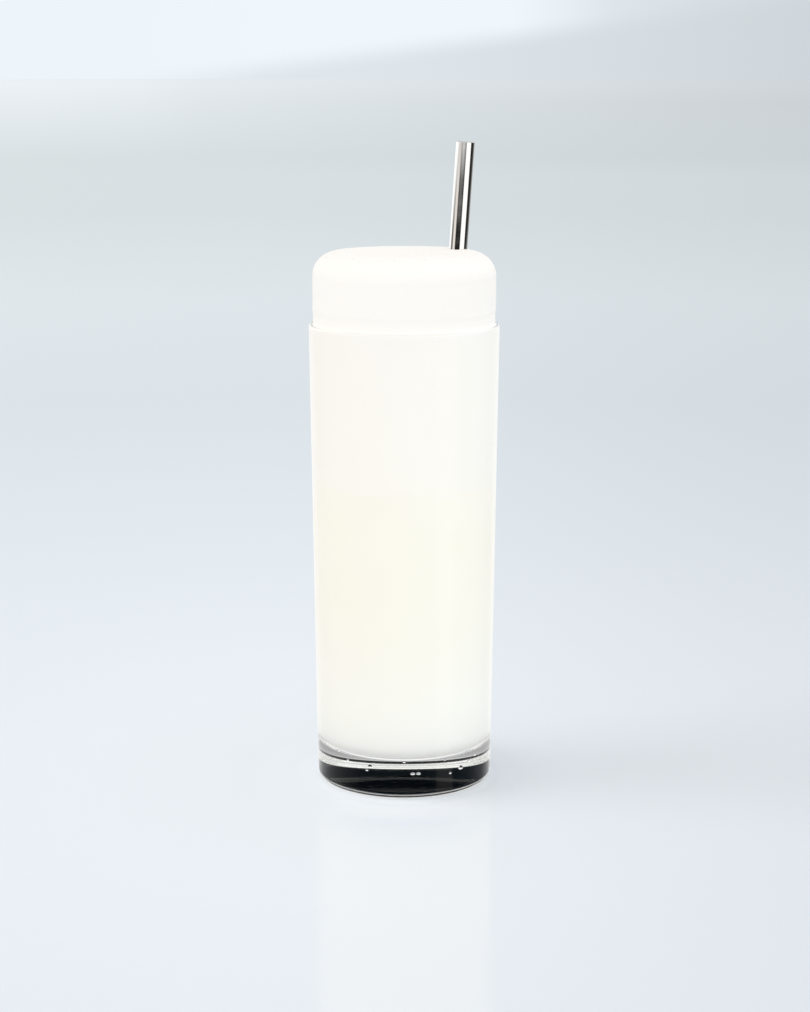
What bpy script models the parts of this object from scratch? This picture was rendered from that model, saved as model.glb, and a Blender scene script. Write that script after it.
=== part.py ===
"""A glass of gin fizz, as four solids.

glass   a tall clear tumbler with slightly flaring sides, a thick foot and a rounded lip
drink   the pale, cloudy drink that fills the lower part of the tumbler
foam    the stiff white head, from the top of the drink to well above the rim
straw   a steel tube that stands on the tumbler's floor, goes up through both and leans out

Metres, +Z up. The origin is on the tumbler's axis, on the surface that it stands on.
Every outline is a list of (radius, height) points, turned about the Z axis.
"""

import math

import bmesh
import bpy
from mathutils import Matrix, Vector

MM = 0.001

# What separates pieces that touch, because meshes hold 32-bit numbers.
GAP = 0.3 * MM
WELD_DISTANCE = 0.001 * MM

# The tumbler. Its outer radii are at the widest point of the lip and where the heel ends.
GLASS_HEIGHT = 149.0 * MM
RIM_RADIUS = 30.25 * MM
FOOT_RADIUS = 28.3 * MM
WALL_AT_RIM = 1.5 * MM
WALL_AT_FLOOR = 2.2 * MM
HEEL_RADIUS = 2.8 * MM

# Its underside: a flat ring that it stands on, round a shallow flat recess.
RING_WIDTH = 4.0 * MM
RECESS_DEPTH = 0.3 * MM
RECESS_SLOPE = 1.2 * MM

# Its floor: a shallow dish that meets the wall in a round corner.
FLOOR_THICKNESS = 10.3 * MM
DISH_RADIUS = 180.0 * MM
CORNER_RADIUS = 7.0 * MM

# The contents. The head narrows to a neck just over the lip and is widest above it.
LAYER_HEIGHT = 98.5 * MM
FOAM_TOP = 171.8 * MM
FOAM_RADIUS = 29.1 * MM
FOAM_SHOULDER = 7.7 * MM
NECK_RADIUS = 28.9 * MM
NECK_START = 0.8 * MM
NECK_LENGTH = 2.2 * MM
NECK_FLARE = 1.5 * MM

# The straw: where its axis passes the top of the foam, and how far it leans to +X and to +Y.
STRAW_DIAMETER = 6.0 * MM
STRAW_WALL = 0.5 * MM
STRAW_LENGTH = 195.0 * MM
STRAW_AT_TOP = (17.25 * MM, 9.0 * MM)
STRAW_LEAN_X = math.radians(3.8)
STRAW_LEAN_Y = math.radians(2.5)

# Facets: round the tumbler, round what fills it, round the straw and round its channel. The
# contents and the channel have few, so that collision hulls can be cut round the channel.
GLASS_SIDES = 72
CONTENTS_SIDES = 24
STRAW_SIDES = 24
CHANNEL_SIDES = 8
SHARP_ANGLE = math.radians(35.0)


def clear_scene():
    for old in list(bpy.data.objects):
        bpy.data.objects.remove(old)


def arc(centre, radius, start, end, steps):
    """Points on an arc, from the start angle to the end angle in degrees."""
    points = []
    for i in range(steps + 1):
        angle = math.radians(start + (end - start) * i / steps)
        points.append((centre[0] + radius * math.cos(angle), centre[1] + radius * math.sin(angle)))
    return points


def turned(name, outline, sides, closed=False):
    """A solid turned about Z. An open outline starts and ends on the axis."""
    bm = bmesh.new()
    verts = [bm.verts.new((radius, 0.0, height)) for radius, height in outline]
    pairs = list(zip(verts, verts[1:]))
    if closed:
        pairs.append((verts[-1], verts[0]))
    edges = [bm.edges.new(pair) for pair in pairs]
    bmesh.ops.spin(bm, geom=verts + edges, axis=(0.0, 0.0, 1.0), cent=(0.0, 0.0, 0.0),
                   angle=math.tau, steps=sides, use_merge=True)
    bmesh.ops.remove_doubles(bm, verts=bm.verts[:], dist=WELD_DISTANCE)
    bmesh.ops.recalc_face_normals(bm, faces=bm.faces[:])
    mesh = bpy.data.meshes.new(name)
    bm.to_mesh(mesh)
    bm.free()
    mesh.shade_smooth()
    mesh.set_sharp_from_angle(angle=SHARP_ANGLE)
    piece = bpy.data.objects.new(name, mesh)
    bpy.context.scene.collection.objects.link(piece)
    return piece


def finish(piece, name, colour, roughness, metallic=0.0, transmission=0.0):
    """Give a piece its own material."""
    material = bpy.data.materials.new(name)
    material.use_nodes = True
    shader = material.node_tree.nodes["Principled BSDF"]
    shader.inputs["Base Color"].default_value = (*colour, 1.0)
    shader.inputs["Roughness"].default_value = roughness
    shader.inputs["Metallic"].default_value = metallic
    shader.inputs["Transmission Weight"].default_value = transmission
    piece.data.materials.append(material)


# Shape of the tumbler

def share_of_height(height):
    """0 where the heel ends, 1 at the widest point of the lip."""
    return (height - HEEL_RADIUS) / (GLASS_HEIGHT - WALL_AT_RIM / 2 - HEEL_RADIUS)


def outer_radius(height):
    return FOOT_RADIUS + (RIM_RADIUS - FOOT_RADIUS) * share_of_height(height)


def inner_radius(height):
    wall = WALL_AT_FLOOR + (WALL_AT_RIM - WALL_AT_FLOOR) * share_of_height(height)
    return outer_radius(height) - wall


def corner_centre():
    """Centre of the round corner, which touches the wall and the dish."""
    radius = inner_radius(FLOOR_THICKNESS + CORNER_RADIUS) - CORNER_RADIUS
    reach = DISH_RADIUS - CORNER_RADIUS
    height = FLOOR_THICKNESS + DISH_RADIUS - math.sqrt(reach ** 2 - radius ** 2)
    return radius, height


def dish_height(radius):
    return FLOOR_THICKNESS + DISH_RADIUS - math.sqrt(DISH_RADIUS ** 2 - radius ** 2)


def floor_outline(inset, dish_steps, corner_steps):
    """The dish and the corner, from the axis out to the wall, moved up and in by inset."""
    centre = corner_centre()
    slope = math.degrees(math.asin(centre[0] / (DISH_RADIUS - CORNER_RADIUS)))
    dish_centre = (0.0, FLOOR_THICKNESS + DISH_RADIUS)
    dish = arc(dish_centre, DISH_RADIUS - inset, -90.0, -90.0 + slope, dish_steps)
    corner = arc(centre, CORNER_RADIUS - inset, -90.0 + slope, 0.0, corner_steps)
    return dish + corner[1:]


def underside_outline():
    """From the axis out along the recess, down its slope and over the ring to the heel."""
    ring_outside = FOOT_RADIUS - HEEL_RADIUS
    ring_inside = ring_outside - RING_WIDTH
    slope_top = ring_inside - RECESS_SLOPE
    slope = []
    steps = 3
    for i in range(steps + 1):
        drop = 0.5 - 0.5 * math.cos(math.pi * i / steps)
        slope.append((slope_top + RECESS_SLOPE * i / steps, RECESS_DEPTH * (1.0 - drop)))
    heel = arc((ring_outside, HEEL_RADIUS), HEEL_RADIUS, -90.0, 0.0, 6)
    return [(0.0, RECESS_DEPTH)] + slope + heel


def make_glass():
    lip_radius = WALL_AT_RIM / 2
    lip = arc((RIM_RADIUS - lip_radius, GLASS_HEIGHT - lip_radius), lip_radius, 0.0, 180.0, 8)
    inside = list(reversed(floor_outline(0.0, 4, 7)))
    piece = turned("glass", underside_outline() + lip + inside, GLASS_SIDES)
    finish(piece, "clear_soda_lime_glass", (1.0, 1.0, 1.0), 0.0, transmission=1.0)


# The straw and its channel

def straw_direction():
    return Vector((math.tan(STRAW_LEAN_X), math.tan(STRAW_LEAN_Y), 1.0)).normalized()


def straw_foot():
    """Where the straw's axis ends, with its lowest edge just clear of the tumbler's floor."""
    direction = straw_direction()
    radius = STRAW_DIAMETER / 2
    at_top = Vector((*STRAW_AT_TOP, FOAM_TOP))
    near_floor = at_top - direction * (FOAM_TOP - FLOOR_THICKNESS) / direction.z
    drop = radius * math.hypot(direction.x, direction.y)
    foot_height = dish_height(near_floor.xy.length + radius) + GAP + drop
    return at_top - direction * (FOAM_TOP - foot_height) / direction.z


def straw_placement():
    turn = Vector((0.0, 0.0, 1.0)).rotation_difference(straw_direction())
    return Matrix.Translation(straw_foot()) @ turn.to_matrix().to_4x4()


def make_straw():
    outside = STRAW_DIAMETER / 2
    edge = STRAW_WALL / 2
    top = arc((outside - edge, STRAW_LENGTH - edge), edge, 0.0, 180.0, 4)
    bottom = arc((outside - edge, edge), edge, 180.0, 360.0, 4)
    piece = turned("straw", top + bottom, STRAW_SIDES, closed=True)
    piece.matrix_world = straw_placement()
    finish(piece, "polished_stainless_steel", (0.78, 0.78, 0.79), 0.12, metallic=1.0)


def make_channel():
    """The cutter that clears the straw's way through the foam and the drink. Its flats stay the
    gap away from the straw."""
    radius = (STRAW_DIAMETER / 2 + GAP) / math.cos(math.pi / CHANNEL_SIDES)
    below = -10.0 * MM
    above = STRAW_LENGTH
    outline = [(0.0, below), (radius, below), (radius, above), (0.0, above)]
    cutter = turned("straw_channel", outline, CHANNEL_SIDES)
    cutter.matrix_world = straw_placement()
    cutter.hide_render = True
    cutter.display_type = "WIRE"
    return cutter


def cut(piece, cutter):
    modifier = piece.modifiers.new("straw_channel", "BOOLEAN")
    modifier.operation = "DIFFERENCE"
    modifier.solver = "EXACT"
    modifier.object = cutter


# The contents

def make_drink(cutter):
    top = LAYER_HEIGHT - GAP / 2
    outline = floor_outline(GAP, 2, 4) + [(inner_radius(top) - GAP, top), (0.0, top)]
    piece = turned("drink", outline, CONTENTS_SIDES)
    cut(piece, cutter)
    finish(piece, "cloudy_cream_drink", (0.95, 0.93, 0.85), 0.35)


def make_foam(cutter):
    bottom = LAYER_HEIGHT + GAP / 2
    lip_start = GLASS_HEIGHT - WALL_AT_RIM / 2
    neck_bottom = GLASS_HEIGHT + NECK_START
    neck_top = neck_bottom + NECK_LENGTH
    inside = [
        (0.0, bottom),
        (inner_radius(bottom) - GAP, bottom),
        (inner_radius(lip_start) - GAP, lip_start),
    ]
    neck = [
        (NECK_RADIUS, neck_bottom),
        (NECK_RADIUS, neck_top),
        (FOAM_RADIUS, neck_top + NECK_FLARE),
    ]
    shoulder_centre = (FOAM_RADIUS - FOAM_SHOULDER, FOAM_TOP - FOAM_SHOULDER)
    shoulder = arc(shoulder_centre, FOAM_SHOULDER, 0.0, 90.0, 5)
    piece = turned("foam", inside + neck + shoulder + [(0.0, FOAM_TOP)], CONTENTS_SIDES)
    cut(piece, cutter)
    finish(piece, "stiff_white_foam", (0.97, 0.97, 0.95), 0.6)


def main():
    clear_scene()
    make_glass()
    make_straw()
    channel = make_channel()
    make_drink(channel)
    make_foam(channel)


main()
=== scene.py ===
"""The looks of a glass of gin fizz: a tall clear tumbler with a thick foot, a pale cloudy drink,
a stiff white head that stands above the rim, and a leaning steel straw.

It is laid out as a Blender add-on and run as a script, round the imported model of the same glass.
Metres, +Z up, with the origin on the tumbler's axis, on the surface that it stands on. Every
turned piece is an outline of (radius, height) points, spun about the Z axis.
"""

import math
import random

import bmesh
import bpy
from bpy.props import FloatProperty, FloatVectorProperty, IntProperty, PointerProperty
from mathutils import Matrix, Vector, noise


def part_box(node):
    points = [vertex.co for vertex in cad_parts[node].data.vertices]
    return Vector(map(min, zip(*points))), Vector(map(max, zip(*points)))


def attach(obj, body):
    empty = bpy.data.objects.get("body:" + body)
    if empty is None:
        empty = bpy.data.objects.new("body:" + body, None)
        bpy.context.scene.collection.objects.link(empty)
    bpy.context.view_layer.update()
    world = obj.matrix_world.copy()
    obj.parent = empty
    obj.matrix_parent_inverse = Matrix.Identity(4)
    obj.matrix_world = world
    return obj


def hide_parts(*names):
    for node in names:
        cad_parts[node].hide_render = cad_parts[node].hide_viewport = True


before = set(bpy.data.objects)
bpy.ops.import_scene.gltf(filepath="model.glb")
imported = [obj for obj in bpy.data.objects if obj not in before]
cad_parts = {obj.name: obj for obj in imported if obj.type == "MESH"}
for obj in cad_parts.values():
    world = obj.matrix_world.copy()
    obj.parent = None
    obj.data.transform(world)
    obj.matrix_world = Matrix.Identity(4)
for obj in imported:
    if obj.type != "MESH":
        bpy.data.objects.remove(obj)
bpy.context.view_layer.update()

bl_info = {
    "name": "Glass of gin fizz",
    "version": (1, 0, 0),
    "blender": (4, 5, 0),
    "location": "3D View > Sidebar > Gin Fizz",
    "description": "Builds a glass of gin fizz with its foam head and steel straw",
    "category": "Object",
}

MM = 0.001
WELD_DISTANCE = 0.0005 * MM
SHARP_ANGLE = math.radians(35.0)
STRETCH = 2.0 * MM
BEND_SUPPORT = 0.06 * MM

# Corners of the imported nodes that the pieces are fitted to
GLASS_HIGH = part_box("glass")[1]
FOAM_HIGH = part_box("foam")[1]
DRINK_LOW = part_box("drink")[0]
STRAW_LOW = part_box("straw")[0]


def linear(hex_colour):
    """An sRGB hex value, such as "FAF8EE", as a linear RGBA colour."""
    channels = [int(hex_colour[i:i + 2], 16) / 255 for i in (0, 2, 4)]
    values = [c / 12.92 if c <= 0.04045 else ((c + 0.055) / 1.055) ** 2.4 for c in channels]
    return (*values, 1.0)


def grey(value, warmth=0.0):
    """A linear grey. Above 0, warmth takes it towards orange, and below 0 towards blue."""
    return (value * (1 + warmth), value, value * (1 - warmth), 1.0)


# Sizes and colours that a user would change

def length(name, description, default):
    return FloatProperty(name=name, description=description, default=default, unit="LENGTH",
                         subtype="DISTANCE", precision=5)


def tilt(name, description, degrees):
    return FloatProperty(name=name, description=description, default=math.radians(degrees),
                         unit="ROTATION", subtype="ANGLE")


def colour(name, description, hex_colour):
    return FloatVectorProperty(name=name, description=description, default=linear(hex_colour),
                               subtype="COLOR", size=4, min=0.0, max=1.0)


class TumblerSettings(bpy.types.PropertyGroup):
    """The clear tumbler"""
    height: length("Height", "From the base ring to the top of the lip", GLASS_HIGH.z)
    rim_radius: length("Rim radius", "Outside, at the widest point of the lip", GLASS_HIGH.x)
    foot_radius: length("Foot radius", "Outside, where the heel ends", 28.3 * MM)
    wall_at_rim: length("Wall at rim", "Thickness of the wall under the lip", 1.5 * MM)
    wall_at_floor: length("Wall at floor", "Thickness of the wall at its foot", 2.2 * MM)
    heel_radius: length("Heel radius", "Round edge between the wall and the base ring", 2.8 * MM)
    ring_width: length("Base ring width", "Flat ring that the tumbler stands on", 4.0 * MM)
    recess_depth: length("Recess depth", "Shallow recess inside the base ring", 0.3 * MM)
    recess_slope: length("Recess slope", "Width of the recess's sloping edge", 1.2 * MM)
    floor_thickness: length("Floor thickness", "Glass under the drink, on the axis", 10.3 * MM)
    dish_radius: length("Dish radius", "Radius of the dished floor", 180.0 * MM)
    corner_radius: length("Corner radius", "Round corner between floor and wall", 7.0 * MM)
    sides: IntProperty(name="Sides", description="Facets round the tumbler", default=192, min=24)
    tint: colour("Tint", "Colour of the glass", "FFFFFF")


class ContentsSettings(bpy.types.PropertyGroup):
    """The drink and its head"""
    layer_height: length("Layer height", "Where the drink ends and the foam begins", 98.5 * MM)
    foam_radius: length("Foam radius", "The head at its widest, above the rim", FOAM_HIGH.x)
    foam_top: length("Foam top", "Height of the head's flat top", FOAM_HIGH.z)
    shoulder_radius: length("Shoulder radius", "Round edge of the head's top", 7.7 * MM)
    neck_radius: length("Neck radius", "The head where it passes the lip", 28.9 * MM)
    neck_length: length("Neck length", "Height of the narrow part above the lip", 2.2 * MM)
    neck_flare: length("Neck flare", "Height over which the neck widens", 1.5 * MM)
    wetting: length("Wetting", "How far the contents reach into the wall", 0.15 * MM)
    unevenness: length("Unevenness", "Relief on the head's free surface", 0.14 * MM)
    sides: IntProperty(name="Sides", description="Facets round the contents", default=192, min=24)
    drink_colour: colour("Drink", "Cloudy lemon, egg white and cream", "FEFDF8")
    settled_colour: colour("Drink at the bottom", "The same drink, paler near the floor", "FDFDFA")
    foam_colour: colour("Foam in the glass", "Egg white and cream, wet against the wall", "FEFDFA")
    # The crown's colour is painted a shade darker than the foam in the glass: painted shade for the
    # stronger light on the free head.
    shaded_crown_colour: colour("Foam crown", "The same foam where it stands free", "FCF9F4")


class StrawSettings(bpy.types.PropertyGroup):
    """The steel straw"""
    diameter: length("Diameter", "Outside diameter of the tube", 6.0 * MM)
    wall: length("Wall", "Thickness of the tube's wall", 0.5 * MM)
    length: length("Length", "End to end, along the tube", 195.0 * MM)
    across: length("Across", "Where its axis passes the foam's top, along +X", 17.25 * MM)
    behind: length("Behind", "Where its axis passes the foam's top, along +Y", 9.0 * MM)
    lean_right: tilt("Lean right", "Lean towards +X", 3.8)
    lean_back: tilt("Lean back", "Lean towards +Y", 2.5)
    steel: colour("Steel", "Reflection colour of the polished steel", "E6E4E1")


class DropletSettings(bpy.types.PropertyGroup):
    """Water left on the outside of the foot"""
    around: IntProperty(name="Round the back", default=16,
                        description="Droplets on the sides and back")
    smallest: length("Smallest", "Width of the smallest droplet", 0.7 * MM)
    largest: length("Largest", "Width of the largest droplet", 1.9 * MM)
    seed: IntProperty(name="Seed", description="Another number gives other droplets", default=7)


class StageSettings(bpy.types.PropertyGroup):
    """Floor, light and camera"""
    camera_distance: length("Camera distance", "From the axis, along the floor", 690.0 * MM)
    camera_height: length("Camera height", "Above the floor", 229.0 * MM)
    camera_aside: length("Camera aside", "Sideways from the axis", 0.25 * MM)
    camera_pitch: tilt("Camera pitch", "How far the camera looks down", 11.4)
    lens: FloatProperty(name="Lens", description="Focal length in millimetres, for a 36 mm sensor",
                        default=77.62)
    floor_gap: length("Floor gap", "Air under the base ring, so that it mirrors", 0.02 * MM)
    main_light: FloatProperty(name="Main light", default=0.8,
                              description="Strength of the light that casts the shadow")
    # The floor's colours carry painted light and shade: lighter and darker bands with distance.
    floor_near: colour("Floor near", "The floor round the glass", "DEE4EA")
    floor_middle: colour("Floor middle", "The floor a metre away", "CED6DC")
    floor_far: colour("Floor far", "The floor a few metres away", "C6CFD4")
    floor_horizon: colour("Floor at the horizon", "The floor as far as it goes", "D9E0E6")
    backdrop: colour("Backdrop", "What stands beyond the floor", "E2E9EE")


# Making pieces

def arc(centre, radius, start, end, steps):
    """Points on an arc, from the start angle to the end angle in degrees."""
    points = []
    for i in range(steps + 1):
        angle = math.radians(start + (end - start) * i / steps)
        points.append((centre[0] + radius * math.cos(angle), centre[1] + radius * math.sin(angle)))
    return points


def subdivided(outline, step):
    """The outline with points added, so that no stretch is longer than step. A long stretch also
    gets a point close to each end, which keeps the shading of the bends out of it."""
    points = [outline[0]]
    for start, end in zip(outline, outline[1:]):
        span = math.dist(start, end)
        count = max(1, math.ceil(span / step))
        shares = [i / count for i in range(1, count + 1)]
        if span > 8 * BEND_SUPPORT:
            shares = [BEND_SUPPORT / span] + shares[:-1] + [1.0 - BEND_SUPPORT / span, 1.0]
        for share in shares:
            points.append((start[0] + (end[0] - start[0]) * share,
                           start[1] + (end[1] - start[1]) * share))
    return points


def turned(outline, sides, closed=False):
    """A bmesh turned about Z. An open outline starts and ends on the axis."""
    bm = bmesh.new()
    verts = [bm.verts.new((radius, 0.0, height)) for radius, height in outline]
    pairs = list(zip(verts, verts[1:]))
    if closed:
        pairs.append((verts[-1], verts[0]))
    edges = [bm.edges.new(pair) for pair in pairs]
    bmesh.ops.spin(bm, geom=verts + edges, axis=(0.0, 0.0, 1.0), cent=(0.0, 0.0, 0.0),
                   angle=math.tau, steps=sides, use_merge=True)
    bmesh.ops.remove_doubles(bm, verts=bm.verts[:], dist=WELD_DISTANCE)
    bmesh.ops.recalc_face_normals(bm, faces=bm.faces[:])
    return bm


def make_piece(bm, name, material):
    """Turn a finished bmesh into a smooth object at the origin that wears the material."""
    if not bm.faces or any(not edge.is_manifold for edge in bm.edges):
        raise RuntimeError(f"{name} isn't one closed surface")
    mesh = bpy.data.meshes.new(name)
    bm.to_mesh(mesh)
    bm.free()
    mesh.shade_smooth()
    mesh.set_sharp_from_angle(angle=SHARP_ANGLE)
    mesh.materials.append(material)
    piece = bpy.data.objects.new(name, mesh)
    bpy.context.scene.collection.objects.link(piece)
    return piece


# Shape of the tumbler, which its contents follow

def share_of_height(glass, height):
    """0 where the heel ends, 1 at the widest point of the lip."""
    lip = glass.height - glass.wall_at_rim / 2
    return (height - glass.heel_radius) / (lip - glass.heel_radius)


def outer_radius(glass, height):
    share = share_of_height(glass, height)
    return glass.foot_radius + (glass.rim_radius - glass.foot_radius) * share


def inner_radius(glass, height):
    share = share_of_height(glass, height)
    wall_change = (glass.wall_at_rim - glass.wall_at_floor) * share
    return outer_radius(glass, height) - glass.wall_at_floor - wall_change


def floor_outline(glass, grow):
    """The dish and the round corner, from the axis to the wall, moved grow into the glass."""
    dish_centre = (0.0, glass.floor_thickness + glass.dish_radius)
    corner_start = glass.floor_thickness + glass.corner_radius
    corner_at = inner_radius(glass, corner_start) - glass.corner_radius
    reach = glass.dish_radius - glass.corner_radius
    corner_centre = (corner_at, dish_centre[1] - math.sqrt(reach ** 2 - corner_at ** 2))
    slope = math.degrees(math.asin(corner_at / reach))
    dish = arc(dish_centre, glass.dish_radius + grow, -90.0, -90.0 + slope, 12)
    corner = arc(corner_centre, glass.corner_radius + grow, -90.0 + slope, 0.0, 32)
    return dish + corner[1:]


def underside_outline(glass):
    """From the axis out along the recess, down its slope and over the ring to the heel."""
    ring_outside = glass.foot_radius - glass.heel_radius
    ring_inside = ring_outside - glass.ring_width
    slope_top = ring_inside - glass.recess_slope
    steps = 8
    slope = []
    for i in range(steps + 1):
        drop = 0.5 - 0.5 * math.cos(math.pi * i / steps)
        slope.append((slope_top + glass.recess_slope * i / steps,
                      glass.recess_depth * (1.0 - drop)))
    heel = arc((ring_outside, glass.heel_radius), glass.heel_radius, -90.0, 0.0, 28)
    return [(0.0, glass.recess_depth)] + slope + heel


def tumbler_outline(glass):
    edge = glass.wall_at_rim / 2
    lip = arc((glass.rim_radius - edge, glass.height - edge), edge, 0.0, 180.0, 18)
    outline = underside_outline(glass) + lip + list(reversed(floor_outline(glass, 0.0)))
    return subdivided(outline, STRETCH)


def foam_outline(glass, contents):
    """From the axis out under the head, up the wall, past the lip and over the shoulder."""
    bottom = contents.layer_height
    lip_start = glass.height - glass.wall_at_rim / 2
    neck_bottom = glass.height + glass.wall_at_rim / 2
    neck_top = neck_bottom + contents.neck_length
    inside = [
        (0.0, bottom),
        (inner_radius(glass, bottom) + contents.wetting, bottom),
        (inner_radius(glass, lip_start) + contents.wetting, lip_start),
    ]
    neck = [
        (contents.neck_radius, neck_bottom),
        (contents.neck_radius, neck_top),
        (contents.foam_radius, neck_top + contents.neck_flare),
    ]
    radius = contents.shoulder_radius
    centre = (contents.foam_radius - radius, contents.foam_top - radius)
    return inside + neck + arc(centre, radius, 0.0, 90.0, 16) + [(0.0, contents.foam_top)]


# Materials

MIX_FACTOR, MIX_A, MIX_B, MIX_RESULT = 0, 6, 7, 2


def add_node(tree, kind, settings=None, inputs=None, stops=None):
    """Add a node, with its settings, its input values or links, and the stops of its ramp. A node
    among the inputs stands for its first output."""
    made = tree.nodes.new(kind)
    for name, value in (settings or {}).items():
        setattr(made, name, value)
    for name, value in (inputs or {}).items():
        if isinstance(value, bpy.types.Node):
            value = value.outputs[0]
        if isinstance(value, bpy.types.NodeSocket):
            tree.links.new(value, made.inputs[name])
        else:
            made.inputs[name].default_value = value
    for i, (position, stop_colour) in enumerate(stops or []):
        elements = made.color_ramp.elements
        element = elements[i] if i < len(elements) else elements.new(position)
        element.position = position
        element.color = stop_colour
    return made


def new_material(name):
    """A material with a bare Principled shader, its tree, and its Object coordinates."""
    material = bpy.data.materials.new(name)
    material.use_nodes = True
    tree = material.node_tree
    shader = tree.nodes["Principled BSDF"]
    place = add_node(tree, "ShaderNodeTexCoord").outputs["Object"]
    return material, tree, shader, place


def wet_the_glass(tree, shader, share):
    """Where a liquid touches glass from inside there is no air, so the glass mirrors it only at a
    slant: beyond 64 degrees wholly, and hardly at all before that. The share says where."""
    liquid_in_glass = 1.35 / 1.5
    slant = add_node(tree, "ShaderNodeFresnel", inputs={"IOR": liquid_in_glass})
    here = add_node(tree, "ShaderNodeMath", {"operation": "MULTIPLY"}, {0: slant, 1: share})
    mirror = add_node(tree, "ShaderNodeBsdfGlossy", inputs={"Color": grey(1.0), "Roughness": 0.0})
    mixed = add_node(tree, "ShaderNodeMixShader", inputs={0: here, 1: shader, 2: mirror})
    tree.links.new(mixed.outputs[0], tree.nodes["Material Output"].inputs["Surface"])


def clear_glass(glass):
    """Soda-lime glass, pressed and fire-polished: clear, with a very faint waviness of the surface
    that bends straight reflections a little."""
    material, tree, shader, place = new_material("fire_polished_soda_lime_glass")
    shader.inputs["Base Color"].default_value = glass.tint
    shader.inputs["Roughness"].default_value = 0.0
    shader.inputs["IOR"].default_value = 1.5
    shader.inputs["Transmission Weight"].default_value = 1.0
    wave_length = 18.0 * MM
    waves = add_node(tree, "ShaderNodeTexNoise", inputs={
        "Vector": place, "Scale": 1 / wave_length, "Detail": 1.0})
    bump = add_node(tree, "ShaderNodeBump", inputs={
        "Height": waves, "Strength": 0.25, "Distance": 0.05 * MM})
    tree.links.new(bump.outputs["Normal"], shader.inputs["Normal"])
    return material


def layer_colour(tree, place, contents):
    """The colour of the contents by height: cream below, white above, and a soft, uneven
    change of a few millimetres between them."""
    height = add_node(tree, "ShaderNodeSeparateXYZ", inputs={0: place}).outputs["Z"]
    cloud_size = 9.0 * MM
    clouds = add_node(tree, "ShaderNodeTexNoise", inputs={
        "Vector": place, "Scale": 1 / cloud_size, "Detail": 3.0})
    shift = add_node(tree, "ShaderNodeMath", {"operation": "MULTIPLY_ADD"}, {
        0: clouds, 1: 6.0 * MM, 2: -3.0 * MM})
    uneven = add_node(tree, "ShaderNodeMath", {"operation": "ADD"}, {0: height, 1: shift})
    half_width = 2.5 * MM
    change = add_node(tree, "ShaderNodeMapRange", {"interpolation_type": "SMOOTHSTEP"}, {
        "Value": uneven,
        "From Min": contents.layer_height - half_width,
        "From Max": contents.layer_height + half_width})
    mixed = add_node(tree, "ShaderNodeMix", {"data_type": "RGBA"}, {
        MIX_FACTOR: change,
        MIX_A: contents.drink_colour,
        MIX_B: contents.foam_colour})
    return mixed.outputs[MIX_RESULT]


def cloudy_drink(glass, contents):
    """Lemon juice, gin, egg white and cream, shaken: an opaque cream liquid, wet against the glass,
    with faint clouds, a little paler towards the bottom, and painted shade over its lowest few
    millimetres, where its underside gets little light."""
    material, tree, shader, place = new_material("shaken_cream_and_lemon")
    base = layer_colour(tree, place, contents)
    cloud_size = 14.0 * MM
    clouds = add_node(tree, "ShaderNodeTexNoise", inputs={
        "Vector": place, "Scale": 1 / cloud_size, "Detail": 4.0})
    depth = add_node(tree, "ShaderNodeValToRGB", inputs={"Fac": clouds}, stops=[
        (0.35, linear("FEFEFD")), (0.65, linear("FFFFFF"))])
    tinted = add_node(tree, "ShaderNodeMix", {"data_type": "RGBA", "blend_type": "MULTIPLY"}, {
        MIX_FACTOR: 1.0, MIX_A: base, MIX_B: depth})
    height = add_node(tree, "ShaderNodeSeparateXYZ", inputs={0: place}).outputs["Z"]
    pale_end = 15.0 * MM
    plain_start = 65.0 * MM
    settled = add_node(tree, "ShaderNodeMapRange", {"interpolation_type": "SMOOTHSTEP"}, {
        "Value": height, "From Min": pale_end, "From Max": plain_start,
        "To Min": 1.0, "To Max": 0.0})
    layered = add_node(tree, "ShaderNodeMix", {"data_type": "RGBA"}, {
        MIX_FACTOR: settled,
        MIX_A: tinted.outputs[MIX_RESULT],
        MIX_B: contents.settled_colour})
    # Painted shade: the drink is painted darker, down to 0.7, over its lowest few millimetres.
    painted_underside_shade = add_node(tree, "ShaderNodeMapRange", {"interpolation_type": "SMOOTHSTEP"}, {
        "Value": height, "From Min": DRINK_LOW.z + 0.5 * MM, "From Max": DRINK_LOW.z + 6.5 * MM,
        "To Min": 0.7, "To Max": 1.0})
    underside_shaded = add_node(tree, "ShaderNodeVectorMath", {"operation": "SCALE"}, {
        0: layered.outputs[MIX_RESULT], "Scale": painted_underside_shade})
    tree.links.new(underside_shaded.outputs[0], shader.inputs["Base Color"])
    shader.inputs["Roughness"].default_value = 0.35
    shader.inputs["Specular IOR Level"].default_value = 0.0
    corner_end = DRINK_LOW.z + glass.corner_radius
    bottom = add_node(tree, "ShaderNodeMapRange", {"interpolation_type": "SMOOTHSTEP"}, {
        "Value": height, "From Min": corner_end - 2.0 * MM, "From Max": corner_end + 2.0 * MM,
        "To Min": 1.0, "To Max": 0.0})
    wet_the_glass(tree, shader, bottom.outputs["Result"])
    return material


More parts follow.
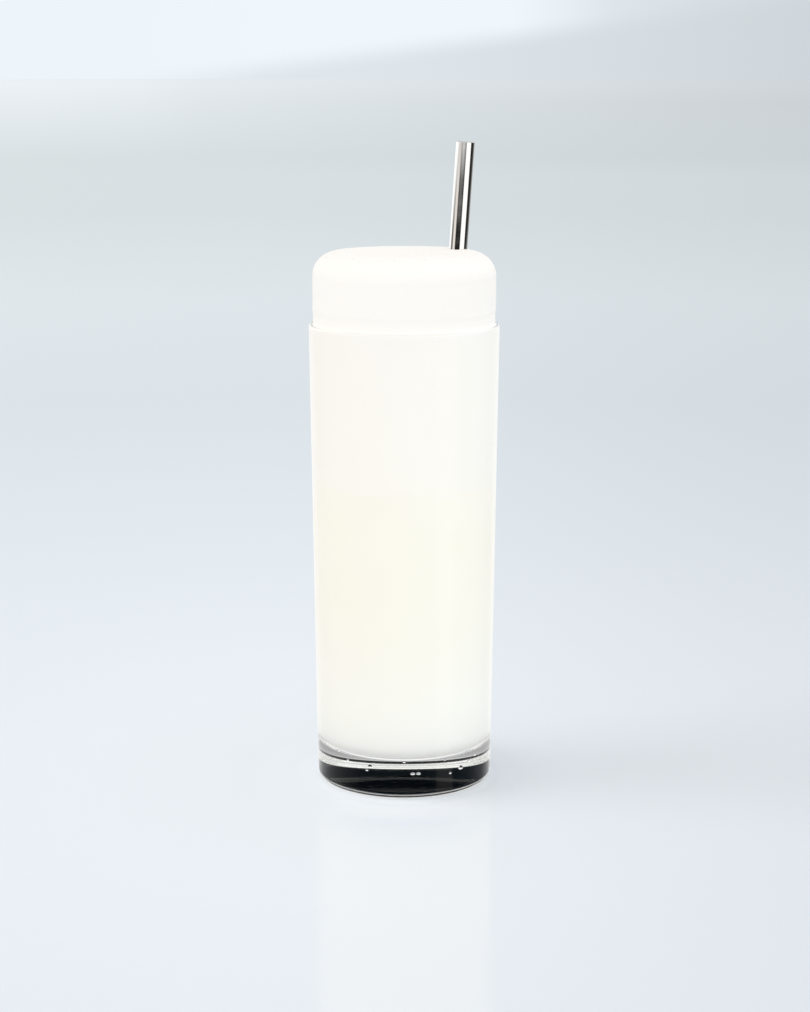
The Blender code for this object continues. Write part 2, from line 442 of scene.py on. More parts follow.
def stiff_foam(contents):
    """Egg white and cream shaken hard and poured slowly: a dense, matte, very fine foam, with
    pores of a few tenths of a millimetre and a few larger bubbles, which show most on the top,
    where they have burst; their hollows carry painted shade, deepest near the top. Where it stands
    free it is painted a little creamier and a shade darker, as painted shade for the stronger
    light there, and its flat top carries a painted shade of its own."""
    material, tree, shader, place = new_material("shaken_egg_white_foam")
    wet = layer_colour(tree, place, contents)
    height = add_node(tree, "ShaderNodeSeparateXYZ", inputs={0: place}).outputs["Z"]
    rim = GLASS_HIGH.z
    # Painted shade: where the head stands free of the glass its colour changes to the darker crown
    # colour.
    free = add_node(tree, "ShaderNodeMapRange", {"interpolation_type": "SMOOTHSTEP"}, {
        "Value": height, "From Min": rim - 0.5 * MM, "From Max": rim + 1.5 * MM})
    base = add_node(tree, "ShaderNodeMix", {"data_type": "RGBA"}, {
        MIX_FACTOR: free, MIX_A: wet, MIX_B: contents.shaded_crown_colour})
    bubble_size = 0.55 * MM
    bubbles = add_node(tree, "ShaderNodeTexVoronoi", {"feature": "F1"}, {
        "Vector": place, "Scale": 1 / bubble_size, "Randomness": 1.0})
    pore_size = 2.6 * MM
    pores = add_node(tree, "ShaderNodeTexVoronoi", {"feature": "F1"}, {
        "Vector": place, "Scale": 1 / pore_size, "Randomness": 1.0})
    pits = add_node(tree, "ShaderNodeMapRange", {"interpolation_type": "SMOOTHSTEP"}, {
        "Value": pores, "From Min": 0.06, "From Max": 0.16,
        "To Min": -1.0, "To Max": 0.0})
    relief = add_node(tree, "ShaderNodeMath", {"operation": "MULTIPLY_ADD"}, {
        0: bubbles, 1: -0.5, 2: pits})
    bump = add_node(tree, "ShaderNodeBump", inputs={
        "Height": relief, "Strength": 0.16, "Distance": 0.1 * MM})
    # Painted shade in the hollows of the bubbles and pores: the colour is darker where the relief is low,
    # down to 0.8 near the top.
    near_top = FOAM_HIGH.z - 4.0 * MM
    painted_pit_shade = add_node(tree, "ShaderNodeMapRange", {"interpolation_type": "SMOOTHSTEP"}, {
        "Value": height, "From Min": near_top, "From Max": FOAM_HIGH.z - 0.5 * MM,
        "To Min": 0.985, "To Max": 0.8})
    # Painted shade on the flat top: the colour is taken a little darker towards the top.
    painted_top_shade = add_node(tree, "ShaderNodeMapRange", {"interpolation_type": "SMOOTHSTEP"}, {
        "Value": height, "From Min": near_top, "From Max": FOAM_HIGH.z,
        "To Min": 1.0, "To Max": 0.975})
    shade = add_node(tree, "ShaderNodeMapRange", inputs={
        "Value": relief, "From Min": -1.2, "From Max": -0.2,
        "To Min": painted_pit_shade, "To Max": painted_top_shade})
    shaded = add_node(tree, "ShaderNodeVectorMath", {"operation": "SCALE"}, {
        0: base.outputs[MIX_RESULT], "Scale": shade})
    tree.links.new(shaded.outputs[0], shader.inputs["Base Color"])
    tree.links.new(bump.outputs["Normal"], shader.inputs["Normal"])
    shader.inputs["Roughness"].default_value = 0.75
    shader.inputs["IOR"].default_value = 1.35
    return material


def polished_steel(straw, direction):
    """Drawn stainless steel tube, polished: mirror bright, with hair-fine scratches along it and
    faint smears that blur the reflection here and there."""
    material, tree, shader, place = new_material("polished_drawn_stainless_steel")
    to_axis = direction.rotation_difference(Vector((0.0, 0.0, 1.0))).to_euler()
    scratch_width = 0.35 * MM
    scratch_length = 25.0 * MM
    along = add_node(tree, "ShaderNodeMapping", inputs={"Vector": place, "Rotation": to_axis})
    stretched = add_node(tree, "ShaderNodeMapping", inputs={
        "Vector": along,
        "Scale": (1 / scratch_width, 1 / scratch_width, 1 / scratch_length)})
    scratches = add_node(tree, "ShaderNodeTexNoise", inputs={
        "Vector": stretched, "Scale": 1.0, "Detail": 3.0})
    smear_size = 7.0 * MM
    smears = add_node(tree, "ShaderNodeTexNoise", inputs={
        "Vector": place, "Scale": 1 / smear_size, "Detail": 2.0})
    rough = add_node(tree, "ShaderNodeMapRange", inputs={
        "Value": smears, "From Min": 0.35, "From Max": 0.7,
        "To Min": 0.04, "To Max": 0.11})
    tree.links.new(rough.outputs["Result"], shader.inputs["Roughness"])
    bump = add_node(tree, "ShaderNodeBump", inputs={
        "Height": scratches, "Strength": 0.12, "Distance": 0.02 * MM})
    tree.links.new(bump.outputs["Normal"], shader.inputs["Normal"])
    shader.inputs["Base Color"].default_value = straw.steel
    shader.inputs["Metallic"].default_value = 1.0
    return material


def water():
    """Droplets left by rinsing: clear water, held round by its own surface. Each one has a painted
    highlight in its lower part: a bright, matt white crescent with a ragged edge."""
    material, tree, shader, place = new_material("clear_water")
    shader.inputs["Base Color"].default_value = linear("FFFFFF")
    shader.inputs["Roughness"].default_value = 0.0
    shader.inputs["IOR"].default_value = 1.333
    shader.inputs["Transmission Weight"].default_value = 1.0
    highlight_weight = add_node(tree, "ShaderNodeAttribute", {"attribute_name": PAINTED_HIGHLIGHT})
    ragged_edge_size = 0.3 * MM
    ragged_edge = add_node(tree, "ShaderNodeTexNoise", inputs={
        "Vector": place, "Scale": 1 / ragged_edge_size, "Detail": 2.0})
    uneven = add_node(tree, "ShaderNodeMath", {"operation": "MULTIPLY_ADD"}, {
        0: ragged_edge, 1: 0.5, 2: -0.25})
    edge = add_node(tree, "ShaderNodeMath", {"operation": "ADD"}, {0: highlight_weight.outputs["Fac"], 1: uneven})
    highlight_mask = add_node(tree, "ShaderNodeMapRange", {"interpolation_type": "SMOOTHSTEP"}, {
        "Value": edge, "From Min": 0.35, "From Max": 0.65})
    # Painted highlight: a white, matt crescent that stands in for the light each droplet gathers.
    painted_crescent = add_node(tree, "ShaderNodeBsdfDiffuse", inputs={"Color": grey(1.0)})
    mixed = add_node(tree, "ShaderNodeMixShader", inputs={0: highlight_mask, 1: shader, 2: painted_crescent})
    tree.links.new(mixed.outputs[0], tree.nodes["Material Output"].inputs["Surface"])
    return material


def floor_shade(tree, stage, distance, across):
    """Painted light and shade on the board: its colour changes softly with distance and falls off to
    the right, away from the main light, and once more far behind the glass."""
    beyond = add_node(tree, "ShaderNodeMath", {"operation": "ADD"}, {0: distance, 1: 1.0})
    share = add_node(tree, "ShaderNodeMath", {"operation": "DIVIDE"}, {0: distance, 1: beyond})
    shades = add_node(tree, "ShaderNodeValToRGB", inputs={"Fac": share}, stops=[
        (0.10, stage.floor_near),
        (0.455, stage.floor_middle),
        (0.60, stage.floor_middle),
        (0.74, stage.floor_far),
        (0.835, stage.floor_far),
        (0.965, stage.floor_horizon)])
    reach = add_node(tree, "ShaderNodeMath", {"operation": "ADD"}, {0: distance, 1: 0.5})
    aside = add_node(tree, "ShaderNodeMath", {"operation": "DIVIDE"}, {0: across, 1: reach})
    fall = add_node(tree, "ShaderNodeMapRange", {"interpolation_type": "SMOOTHSTEP"}, {
        "Value": aside, "From Min": -0.08, "From Max": 0.24,
        "To Min": 1.0, "To Max": 0.915})
    far_aside = add_node(tree, "ShaderNodeMapRange", inputs={
        "Value": aside, "From Min": -0.2, "From Max": 0.2})
    far_fall = add_node(tree, "ShaderNodeValToRGB", inputs={"Fac": far_aside},
                        stops=[
        (0.08, grey(1.0)),
        (0.2, grey(0.98)),
        (0.27, grey(0.94)),
        (0.4, grey(0.915)),
        (0.65, grey(0.875)),
        (0.8, grey(0.845)),
        (0.95, grey(0.82))])
    far_share = add_node(tree, "ShaderNodeMapRange", inputs={
        "Value": share, "From Min": 0.80, "From Max": 0.93})
    far_light = add_node(tree, "ShaderNodeMix", {"data_type": "RGBA"}, {
        MIX_FACTOR: far_share,
        MIX_A: grey(1.0),
        MIX_B: far_fall})
    light = add_node(tree, "ShaderNodeVectorMath", {"operation": "SCALE"}, {
        0: far_light.outputs[MIX_RESULT], "Scale": fall})
    shaded = add_node(tree, "ShaderNodeVectorMath", {"operation": "MULTIPLY"}, {
        0: shades, 1: light})
    return shaded


def painted_foot_glow(tree, distance, across):
    """Painted light round the foot: the floor is painted brighter close to the clear foot, most of all
    on the left, and a little darker a short way out on the right.
    """
    foot_edge = 28.3 * MM
    glow_end = 53.3 * MM
    from_foot = add_node(tree, "ShaderNodeMapRange", inputs={
        "Value": distance, "From Min": foot_edge, "From Max": glow_end})
    lit_side = add_node(tree, "ShaderNodeValToRGB", inputs={"Fac": from_foot}, stops=[
        (0.0, grey(1.2)), (0.15, grey(1.08)), (0.4, grey(1.02)), (1.0, grey(0.99))])
    far_side = add_node(tree, "ShaderNodeValToRGB", inputs={"Fac": from_foot}, stops=[
        (0.0, grey(1.1)), (0.1, grey(0.99)), (0.4, grey(0.97)), (1.0, grey(0.99))])
    turn = add_node(tree, "ShaderNodeMath", {"operation": "DIVIDE"}, {0: across, 1: distance})
    to_far_side = add_node(tree, "ShaderNodeMapRange", {"interpolation_type": "SMOOTHSTEP"}, {
        "Value": turn, "From Min": 0.0, "From Max": 0.7})
    through_foot = add_node(tree, "ShaderNodeMix", {"data_type": "RGBA"}, {
        MIX_FACTOR: to_far_side,
        MIX_A: lit_side,
        MIX_B: far_side})
    return through_foot.outputs[MIX_RESULT]


def floor_paint(stage):
    """Satin white board: pale and faintly glossy, which gives it a soft, warm reflection of the
    glass. Its colour carries painted light and shade, and a painted contact shadow under the base
    ring, where hardly any light gets in."""
    material, tree, shader, place = new_material("satin_white_board")
    distance = add_node(tree, "ShaderNodeVectorMath", {"operation": "LENGTH"}, {
        0: place}).outputs["Value"]
    across = add_node(tree, "ShaderNodeSeparateXYZ", inputs={0: place}).outputs["X"]
    # Painted light and shade: the floor's shades and the glow round the foot are painted into its colour.
    brightened = add_node(tree, "ShaderNodeVectorMath", {"operation": "MULTIPLY"}, {
        0: floor_shade(tree, stage, distance, across),
        1: painted_foot_glow(tree, distance, across)})
    # Painted contact shadow: the board is painted darker under the base ring.
    ring_edge = 25.0 * MM
    shade_end = 26.6 * MM
    painted_contact_shadow = add_node(tree, "ShaderNodeMapRange", {"interpolation_type": "SMOOTHSTEP"}, {
        "Value": distance, "From Min": ring_edge, "From Max": shade_end,
        "To Min": 0.45, "To Max": 1.0})
    contact_shaded = add_node(tree, "ShaderNodeVectorMath", {"operation": "SCALE"}, {
        0: brightened, "Scale": painted_contact_shadow})
    tree.links.new(contact_shaded.outputs[0], shader.inputs["Base Color"])
    shader.inputs["Roughness"].default_value = 0.8
    shader.inputs["Specular IOR Level"].default_value = 0.0
    sheen = add_node(tree, "ShaderNodeBsdfGlossy", inputs={
        "Color": linear("FFE2BC"), "Roughness": 0.1})
    sheen_share = 0.075
    coated = add_node(tree, "ShaderNodeMixShader", inputs={0: sheen_share, 1: shader, 2: sheen})
    tree.links.new(coated.outputs[0], tree.nodes["Material Output"].inputs["Surface"])
    return material


# Building the pieces

def build_tumbler(glass):
    bm = turned(tumbler_outline(glass), glass.sides)
    tumbler = make_piece(bm, "tumbler", clear_glass(glass))
    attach(tumbler, "root")
    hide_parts("glass")


def build_drink(glass, contents):
    top = contents.layer_height
    wall = (inner_radius(glass, top) + contents.wetting, top)
    outline = floor_outline(glass, contents.wetting) + [wall, (0.0, top)]
    bm = turned(subdivided(outline, STRETCH), contents.sides)
    drink = make_piece(bm, "cloudy_drink", cloudy_drink(glass, contents))
    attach(drink, "root")
    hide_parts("drink")


def roughen_foam(bm, glass, contents):
    """Push the head's free surface in and out: long swells, and small lumps on them."""
    fade_start = glass.height
    fade_length = 4.0 * MM
    swell = 14.0 * MM
    lump = 3.2 * MM
    lump_share = 0.35
    bm.normal_update()
    for vert in bm.verts:
        free = min(1.0, max(0.0, (vert.co.z - fade_start) / fade_length))
        if free > 0.0:
            relief = noise.noise(vert.co / swell) + lump_share * noise.noise(vert.co / lump)
            vert.co += vert.normal * (relief - 0.5) * contents.unevenness * free


def build_foam(glass, contents):
    step = 0.8 * MM
    bm = turned(subdivided(foam_outline(glass, contents), step), contents.sides)
    roughen_foam(bm, glass, contents)
    foam = make_piece(bm, "foam_head", stiff_foam(contents))
    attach(foam, "root")
    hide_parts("foam")


def straw_direction(straw):
    return Vector((math.tan(straw.lean_right), math.tan(straw.lean_back), 1.0)).normalized()


def straw_placement(straw):
    """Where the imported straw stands: its lowest edge gives the height of its axis's end."""
    direction = straw_direction(straw)
    drop = straw.diameter / 2 * math.hypot(direction.x, direction.y)
    at_top = Vector((straw.across, straw.behind, FOAM_HIGH.z))
    foot = at_top - direction * (FOAM_HIGH.z - STRAW_LOW.z - drop) / direction.z
    turn = Vector((0.0, 0.0, 1.0)).rotation_difference(direction)
    return Matrix.Translation(foot) @ turn.to_matrix().to_4x4()


def build_straw(straw):
    outside = straw.diameter / 2
    edge = straw.wall / 2
    top = arc((outside - edge, straw.length - edge), edge, 0.0, 180.0, 8)
    bottom = arc((outside - edge, edge), edge, 180.0, 360.0, 8)
    outline = subdivided(top + bottom + top[:1], STRETCH)[:-1]
    sides = 96
    bm = turned(outline, sides, closed=True)
    bmesh.ops.transform(bm, matrix=straw_placement(straw), verts=bm.verts[:])
    tube = make_piece(bm, "steel_straw", polished_steel(straw, straw_direction(straw)))
    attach(tube, "root")
    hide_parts("straw")


# Droplets on the front of the foot: angle from the front in degrees, height, width, and how
# tall each is for its width.
FRONT_DROPLETS = (
    (-67.0, 7.8 * MM, 0.9 * MM, 0.9),
    (-47.6, 13.7 * MM, 1.0 * MM, 0.8),
    (-39.3, 11.5 * MM, 0.9 * MM, 0.8),
    (-24.7, 9.3 * MM, 1.0 * MM, 0.6),
    (-22.5, 10.7 * MM, 1.6 * MM, 0.95),
    (0.0, 12.9 * MM, 1.0 * MM, 0.8),
    (5.5, 8.9 * MM, 1.6 * MM, 0.5),
    (9.1, 8.9 * MM, 1.6 * MM, 0.5),
    (25.8, 11.1 * MM, 0.8 * MM, 0.9),
    (27.3, 12.6 * MM, 0.9 * MM, 0.7),
    (31.2, 7.9 * MM, 0.9 * MM, 0.9),
    (39.5, 9.0 * MM, 1.9 * MM, 0.85),
    (47.8, 10.3 * MM, 0.8 * MM, 1.0),
    (53.3, 11.6 * MM, 1.0 * MM, 0.8),
)
PAINTED_HIGHLIGHT = "painted_highlight"


def add_droplet(bm, glass, angle, height, width, tallness):
    """A water droplet that clings to the wall, fuller below than above. Its painted highlight weight is
    1 on the crescent's middle line and falls to 0 over the crescent's reach, above and below it."""
    crescent_middle = 0.68
    crescent_reach = 0.35 * MM
    made = bmesh.ops.create_icosphere(bm, subdivisions=3, radius=width / 2)["verts"]
    highlight_weight = bm.verts.layers.float.get(PAINTED_HIGHLIGHT)
    for vert in made:
        below = 0.5 - vert.co.z / width
        away = abs(below - crescent_middle) * width
        vert[highlight_weight] = max(0.0, min(1.0, 1.0 - away / crescent_reach))
        vert.co.x *= 0.8 + 0.25 * below
        vert.co.y *= 0.55
        vert.co.z *= tallness
    sunk = 0.1 * MM
    back = 0.05 * width
    radius = outer_radius(glass, height) - sunk
    for vert in made:
        vert.co.y = min(vert.co.y, back)
    out = Matrix.Translation((0.0, -radius - back, height))
    bmesh.ops.transform(bm, matrix=Matrix.Rotation(math.radians(angle), 4, "Z") @ out, verts=made)


def build_droplets(glass, droplets):
    bm = bmesh.new()
    bm.verts.layers.float.new(PAINTED_HIGHLIGHT)
    for angle, height, width, tallness in FRONT_DROPLETS:
        add_droplet(bm, glass, angle, height, width, tallness)
    draw = random.Random(droplets.seed)
    first_angle = 75.0
    turn = 210.0
    for i in range(droplets.around):
        angle = first_angle + turn * (i + draw.random()) / droplets.around
        width = droplets.smallest + (droplets.largest - droplets.smallest) * draw.random() ** 2
        add_droplet(bm, glass, angle, draw.uniform(11.5, 14.5) * MM, width, draw.uniform(0.7, 1.1))
    bmesh.ops.recalc_face_normals(bm, faces=bm.faces[:])
    drops = make_piece(bm, "water_droplets", water())
    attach(drops, "root")


# The stage

def build_floor(stage):
    bm = bmesh.new()
    reach = 40.0
    bmesh.ops.create_circle(bm, cap_ends=True, cap_tris=True, segments=96, radius=reach)
    bmesh.ops.translate(bm, vec=(0.0, 0.0, -stage.floor_gap), verts=bm.verts[:])
    mesh = bpy.data.meshes.new("floor")
    bm.to_mesh(mesh)
    bm.free()
    mesh.materials.append(floor_paint(stage))
    floor = bpy.data.objects.new("floor", mesh)
    bpy.context.scene.collection.objects.link(floor)
    floor.visible_glossy = False
    floor.visible_transmission = False
    return floor


def at(degrees):
    """An angle round the horizon as a place on a ramp: 0 faces the camera, 90 is to its right."""
    return (degrees + 180.0) / 360.0


def mirrored_room(tree, stage, towards, around, up, inside):
    """What glossy things mirror: white and black panels along the horizon, a haze of light that
    leans with the straw above them, then walls, and a white ceiling light. Below the horizon is
    the dim floor. Seen from inside the glass the walls are black, and the ceiling is brighter."""
    panels = add_node(tree, "ShaderNodeValToRGB", inputs={"Fac": around}, stops=[
        (at(-180), stage.backdrop),
        (at(-156), stage.backdrop),
        (at(-150), grey(1.35)),
        (at(-112), grey(1.35)),
        (at(-106), grey(0.1)),
        (at(-82), grey(0.12)),
        (at(-76), grey(0.95, 0.06)),
        (at(-52), grey(0.95, 0.06)),
        (at(-45), grey(0.03)),
        (at(12), grey(0.015)),
        (at(18), grey(1.35)),
        (at(67), grey(1.35)),
        (at(73), grey(0.03)),
        (at(108), grey(0.04)),
        (at(120), grey(0.22)),
        (at(137), grey(0.5)),
        (at(150), stage.backdrop),
    ])
    upper = add_node(tree, "ShaderNodeValToRGB", inputs={"Fac": around}, stops=[
        (at(-180), stage.backdrop),
        (at(-156), grey(1.35)),
        (at(-100), grey(1.35)),
        (at(-86), grey(0.9)),
        (at(-67), grey(0.8, 0.03)),
        (at(-54), grey(0.65, 0.03)),
        (at(-41), grey(0.6, 0.02)),
        (at(-29), grey(0.8)),
        (at(-18), grey(1.0)),
        (at(-6), grey(0.75)),
        (at(5), grey(0.45)),
        (at(12), grey(0.35)),
        (at(18), grey(1.35)),
        (at(67), grey(1.35)),
        (at(73), grey(0.03)),
        (at(110), grey(0.04)),
        (at(122), grey(0.25)),
        (at(137), grey(0.5)),
        (at(150), stage.backdrop),
    ])
    along_straw = (0.066, 0.044, 0.997)
    leaning = add_node(tree, "ShaderNodeVectorMath", {"operation": "DOT_PRODUCT"}, {
        0: towards, 1: along_straw})
    haze = add_node(tree, "ShaderNodeMapRange", inputs={
        "Value": leaning.outputs["Value"], "From Min": -0.035, "From Max": 0.0095})
    suddenness = add_node(tree, "ShaderNodeMapRange", inputs={
        "Value": around, "From Min": at(-85), "From Max": at(-50), "To Min": 1.0, "To Max": 4.0})
    hazy = add_node(tree, "ShaderNodeMath", {"operation": "POWER"}, {0: haze, 1: suddenness})
    horizon = add_node(tree, "ShaderNodeMix", {"data_type": "RGBA"}, {
        MIX_FACTOR: hazy,
        MIX_A: panels,
        MIX_B: upper})

    low = add_node(tree, "ShaderNodeValToRGB", inputs={"Fac": around}, stops=[
        (at(-180), grey(1.05)),
        (at(-150), grey(0.9)),
        (at(-120), grey(0.48)),
        (at(-88), grey(0.28)),
        (at(-60), grey(0.13, -0.2)),
        (at(42), grey(0.13, -0.2)),
        (at(45), grey(0.4)),
        (at(66), grey(0.4)),
        (at(69), grey(0.13, -0.2)),
        (at(92), grey(0.15, -0.2)),
        (at(125), grey(0.35)),
        (at(150), grey(0.85)),
        (at(180), grey(1.05)),
    ])
    above_floor = add_node(tree, "ShaderNodeMapRange", inputs={
        "Value": up, "From Min": -0.118, "From Max": -0.108})
    lower = add_node(tree, "ShaderNodeMix", {"data_type": "RGBA"}, {
        MIX_FACTOR: above_floor,
        MIX_A: low,
        MIX_B: horizon.outputs[MIX_RESULT]})

    wall_paint = add_node(tree, "ShaderNodeValToRGB", inputs={"Fac": around}, stops=[
        (at(-180), grey(0.35)),
        (at(-160), grey(0.35)),
        (at(-148), grey(0.85)),
        (at(148), grey(0.85)),
        (at(160), grey(0.35)),
        (at(180), grey(0.35)),
    ])
    walls = add_node(tree, "ShaderNodeMix", {"data_type": "RGBA"}, {
        MIX_FACTOR: inside, MIX_A: wall_paint, MIX_B: grey(0.003)})
    above_panels = add_node(tree, "ShaderNodeMapRange", inputs={
        "Value": up, "From Min": 0.10, "From Max": 0.16})
    sides = add_node(tree, "ShaderNodeMix", {"data_type": "RGBA"}, {
        MIX_FACTOR: above_panels,
        MIX_A: lower.outputs[MIX_RESULT],
        MIX_B: walls.outputs[MIX_RESULT]})

    ceiling = add_node(tree, "ShaderNodeMix", {"data_type": "RGBA"}, {
        MIX_FACTOR: inside, MIX_A: grey(0.7), MIX_B: grey(1.3)})
    above_walls = add_node(tree, "ShaderNodeMapRange", inputs={
        "Value": up, "From Min": 0.64, "From Max": 0.74})
    mirrored = add_node(tree, "ShaderNodeMix", {"data_type": "RGBA"}, {
        MIX_FACTOR: above_walls,
        MIX_A: sides.outputs[MIX_RESULT],
        MIX_B: ceiling.outputs[MIX_RESULT]})
    return mirrored.outputs[MIX_RESULT]


def soft_light(tree, around, up, rising):
    """What lights matt things: a dome, warm from the left and cool from the right, brightest just
    above the horizon and dim below it."""
    warmth = add_node(tree, "ShaderNodeValToRGB", inputs={"Fac": around}, stops=[
        (at(-180), grey(0.99)),
        (at(-60), grey(1.0, 0.035)),
        (at(0), grey(1.035, 0.01)),
        (at(60), grey(1.06, -0.01)),
        (at(180), grey(0.99)),
    ])
    overhead = add_node(tree, "ShaderNodeMapRange", inputs={
        "Value": up, "From Min": 0.0, "From Max": 1.0, "To Min": 1.34, "To Max": 0.95})
    by_height = add_node(tree, "ShaderNodeValToRGB", inputs={"Fac": rising}, stops=[
        (0.49, grey(0.63, -0.03)),
        (0.51, grey(1.0)),
        (0.6, grey(1.0)),
        (1.0, grey(1.0, -0.02))])
    tinted = add_node(tree, "ShaderNodeMix", {"data_type": "RGBA", "blend_type": "MULTIPLY"}, {
        MIX_FACTOR: 1.0, MIX_A: warmth, MIX_B: by_height})
    dome = add_node(tree, "ShaderNodeVectorMath", {"operation": "SCALE"}, {
        0: tinted.outputs[MIX_RESULT], "Scale": overhead})
    return dome


def seen_behind(tree, stage, side, up, rising, inside):
    """What shows beyond the floor: a pale sky, darker to the right, with a brighter bank of cloud
    over its lower edge. Through the clear glass it is dimmer, and black from the horizon up."""
    fall = add_node(tree, "ShaderNodeMapRange", {"interpolation_type": "SMOOTHSTEP"}, {
        "Value": side, "From Min": -0.08, "From Max": 0.24, "To Min": 1.0, "To Max": 0.9})
    beyond = add_node(tree, "ShaderNodeValToRGB", inputs={"Fac": rising}, stops=[
        (0.0, grey(0.8)),
        (0.30, grey(0.45)),
        (0.44, grey(0.47)),
        (0.465, grey(0.65)),
        (0.486, grey(0.65)),
        (0.494, grey(0.003))])
    through_glass = add_node(tree, "ShaderNodeVectorMath", {"operation": "SCALE"}, {
        0: beyond, "Scale": fall})

    across = add_node(tree, "ShaderNodeMapRange", inputs={
        "Value": side, "From Min": -0.2, "From Max": 0.2}).outputs["Result"]
    low_sky = add_node(tree, "ShaderNodeValToRGB", inputs={"Fac": across}, stops=[
        (0.1, grey(1.1)),
        (0.2, grey(1.08)),
        (0.34, grey(0.99)),
        (0.5, grey(0.965)),
        (0.63, grey(0.925)),
        (0.71, grey(0.9)),
        (0.82, grey(0.865)),
        (0.94, grey(0.83))])
    high_sky = add_node(tree, "ShaderNodeValToRGB", inputs={"Fac": across}, stops=[
        (0.2, grey(1.12)),
        (0.35, grey(1.14)),
        (0.62, grey(1.14)),
        (0.68, grey(1.06)),
        (0.73, grey(0.97)),
        (0.83, grey(0.9)),
        (0.94, grey(0.85))])
    slope = add_node(tree, "ShaderNodeMath", {"operation": "MULTIPLY_ADD"}, {
        0: side, 1: -0.12, 2: up})
    cloud = add_node(tree, "ShaderNodeMapRange", {"interpolation_type": "SMOOTHSTEP"}, {
        "Value": slope, "From Min": 0.001, "From Max": 0.014})
    glow = add_node(tree, "ShaderNodeMix", {"data_type": "RGBA"}, {
        MIX_FACTOR: cloud,
        MIX_A: low_sky,
        MIX_B: high_sky})
    sky = add_node(tree, "ShaderNodeVectorMath", {"operation": "MULTIPLY"}, {
        0: glow.outputs[MIX_RESULT], 1: stage.backdrop[:3]})
    behind = add_node(tree, "ShaderNodeMix", {"data_type": "RGBA"}, {
        MIX_FACTOR: inside, MIX_A: sky, MIX_B: through_glass})
    return behind.outputs[MIX_RESULT]


def light_studio(stage):
    """The world: one picture of it lights what is matt, another is mirrored by what is glossy, and
    a third is seen by the camera and through the clear glass."""
    world = bpy.data.worlds.new("studio")
    bpy.context.scene.world = world
    world.use_nodes = True
    world.cycles.sampling_method = "NONE"
    tree = world.node_tree
    tree.nodes.clear()
    towards = add_node(tree, "ShaderNodeTexCoord").outputs["Generated"]
    split = add_node(tree, "ShaderNodeSeparateXYZ", inputs={0: towards})
    side = split.outputs["X"]
    up = split.outputs["Z"]
    front = add_node(tree, "ShaderNodeMath", {"operation": "MULTIPLY"}, {
        0: split.outputs["Y"], 1: -1.0})
    angle = add_node(tree, "ShaderNodeMath", {"operation": "ARCTAN2"}, {0: side, 1: front})
    around = add_node(tree, "ShaderNodeMapRange", inputs={
        "Value": angle, "From Min": -math.pi, "From Max": math.pi}).outputs["Result"]
    rising = add_node(tree, "ShaderNodeMapRange", inputs={
        "Value": up, "From Min": -1.0, "From Max": 1.0}).outputs["Result"]

    path = add_node(tree, "ShaderNodeLightPath")
    inside, after_gloss, after_matt = [
        add_node(tree, "ShaderNodeMath", {"operation": "GREATER_THAN"}, {
            0: path.outputs[depth], 1: 0.5}).outputs[0]
        for depth in ("Transmission Depth", "Glossy Depth", "Diffuse Depth")]

    seen = add_node(tree, "ShaderNodeBackground", inputs={
        "Color": seen_behind(tree, stage, side, up, rising, inside)})
    reflected = add_node(tree, "ShaderNodeBackground", inputs={
        "Color": mirrored_room(tree, stage, towards, around, up, inside)})
    lighting = add_node(tree, "ShaderNodeBackground", inputs={
        "Color": soft_light(tree, around, up, rising)})
    clear = add_node(tree, "ShaderNodeMixShader", inputs={0: after_gloss, 1: seen, 2: reflected})
    chosen = add_node(tree, "ShaderNodeMixShader", inputs={0: after_matt, 1: clear, 2: lighting})
    add_node(tree, "ShaderNodeOutputWorld", inputs={"Surface": chosen})


def light_floor(stage, floor):
    """A wide, low light from the left that gives the floor its soft shadow."""
    lit = bpy.data.collections.new("lit_by_main_light")
    lit.objects.link(floor)
    data = bpy.data.lights.new("main_light", "SUN")
    data.energy = stage.main_light
    data.angle = math.radians(45.0)
    light = bpy.data.objects.new("main_light", data)
    light.rotation_euler = (0.0, math.radians(-62.0), math.radians(6.0))
    light.light_linking.receiver_collection = lit
    light.visible_glossy = False
    light.visible_transmission = False
    bpy.context.scene.collection.objects.link(light)


def set_contrast(view):
    """Plain colours, with the deepest shades taken down to black."""
    view.view_transform = "Standard"
    view.use_curve_mapping = True
    view.curve_mapping.black_level = (0.006, 0.006, 0.006)


def allow_bounces(cycles):
    """Light goes many times between the drink and the wall before it leaves the glass."""
    cycles.max_bounces = 48
    cycles.diffuse_bounces = 16
    cycles.glossy_bounces = 24
    cycles.transmission_bounces = 32
    cycles.blur_glossy = 0.0


def place_camera(stage):
    data = bpy.data.cameras.new("camera")
    data.sensor_width = 36.0
    data.lens = stage.lens
    data.clip_start = 0.01
    data.clip_end = 200.0
    camera = bpy.data.objects.new("camera", data)
    camera.location = (stage.camera_aside, -stage.camera_distance, stage.camera_height)
    camera.rotation_euler = (math.radians(90.0) - stage.camera_pitch, 0.0, 0.0)
    bpy.context.scene.collection.objects.link(camera)
    bpy.context.scene.camera = camera


# The add-on

class FizzSettings(bpy.types.PropertyGroup):
    """Everything that can be changed about the glass of gin fizz"""
    tumbler: PointerProperty(name="Tumbler", description="The clear tumbler", type=TumblerSettings)
    contents: PointerProperty(name="Contents", description="The drink and its head",
                              type=ContentsSettings)
    straw: PointerProperty(name="Straw", description="The steel straw", type=StrawSettings)
    droplets: PointerProperty(name="Droplets", description="Water on the foot",
                              type=DropletSettings)
    stage: PointerProperty(name="Stage", description="Floor, light and camera", type=StageSettings)


class FIZZ_OT_tumbler(bpy.types.Operator):
    """Add the clear tumbler"""
    bl_idname = "fizz.tumbler"
    bl_label = "Add Tumbler"

    def execute(self, context):
        build_tumbler(context.scene.fizz.tumbler)
        return {"FINISHED"}


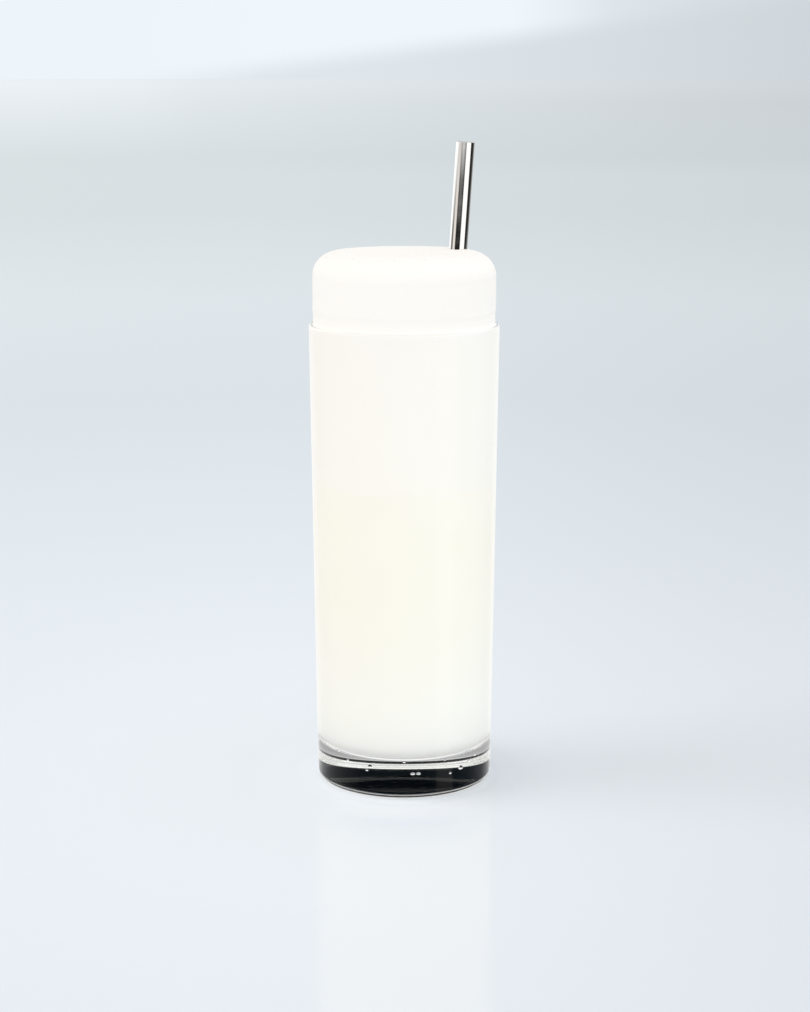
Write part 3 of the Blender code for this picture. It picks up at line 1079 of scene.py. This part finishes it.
class FIZZ_OT_drink(bpy.types.Operator):
    """Add the cloudy drink"""
    bl_idname = "fizz.drink"
    bl_label = "Add Drink"

    def execute(self, context):
        build_drink(context.scene.fizz.tumbler, context.scene.fizz.contents)
        return {"FINISHED"}


class FIZZ_OT_foam(bpy.types.Operator):
    """Add the foam head"""
    bl_idname = "fizz.foam"
    bl_label = "Add Foam"

    def execute(self, context):
        build_foam(context.scene.fizz.tumbler, context.scene.fizz.contents)
        return {"FINISHED"}


class FIZZ_OT_straw(bpy.types.Operator):
    """Add the steel straw"""
    bl_idname = "fizz.straw"
    bl_label = "Add Straw"

    def execute(self, context):
        build_straw(context.scene.fizz.straw)
        return {"FINISHED"}


class FIZZ_OT_droplets(bpy.types.Operator):
    """Add the water droplets on the foot"""
    bl_idname = "fizz.droplets"
    bl_label = "Add Droplets"

    def execute(self, context):
        build_droplets(context.scene.fizz.tumbler, context.scene.fizz.droplets)
        return {"FINISHED"}


class FIZZ_OT_stage(bpy.types.Operator):
    """Add the floor, the light and the camera"""
    bl_idname = "fizz.stage"
    bl_label = "Set the Stage"

    def execute(self, context):
        stage = context.scene.fizz.stage
        place_camera(stage)
        floor = build_floor(stage)
        light_studio(stage)
        light_floor(stage, floor)
        set_contrast(context.scene.view_settings)
        allow_bounces(context.scene.cycles)
        return {"FINISHED"}


class FIZZ_PT_panel(bpy.types.Panel):
    """Lists the steps that build the glass of gin fizz"""
    bl_label = "Glass of Gin Fizz"
    bl_idname = "FIZZ_PT_panel"
    bl_space_type = "VIEW_3D"
    bl_region_type = "UI"
    bl_category = "Gin Fizz"

    def draw(self, context):
        for operator in OPERATORS:
            self.layout.operator(operator.bl_idname)
        for group in ("tumbler", "contents", "straw", "droplets", "stage"):
            settings = getattr(context.scene.fizz, group)
            box = self.layout.box()
            box.label(text=group.capitalize())
            for name in settings.__annotations__:
                box.prop(settings, name)


OPERATORS = (FIZZ_OT_stage, FIZZ_OT_tumbler, FIZZ_OT_drink, FIZZ_OT_foam, FIZZ_OT_straw,
             FIZZ_OT_droplets)
SETTINGS = (TumblerSettings, ContentsSettings, StrawSettings, DropletSettings, StageSettings,
            FizzSettings)
CLASSES = SETTINGS + OPERATORS + (FIZZ_PT_panel,)


def register():
    for cls in CLASSES:
        bpy.utils.register_class(cls)
    bpy.types.Scene.fizz = PointerProperty(type=FizzSettings)


def unregister():
    del bpy.types.Scene.fizz
    for cls in reversed(CLASSES):
        bpy.utils.unregister_class(cls)


def main():
    register()
    bpy.ops.fizz.stage()
    bpy.ops.fizz.tumbler()
    bpy.ops.fizz.drink()
    bpy.ops.fizz.foam()
    bpy.ops.fizz.straw()
    bpy.ops.fizz.droplets()


if __name__ == "__main__":
    main()
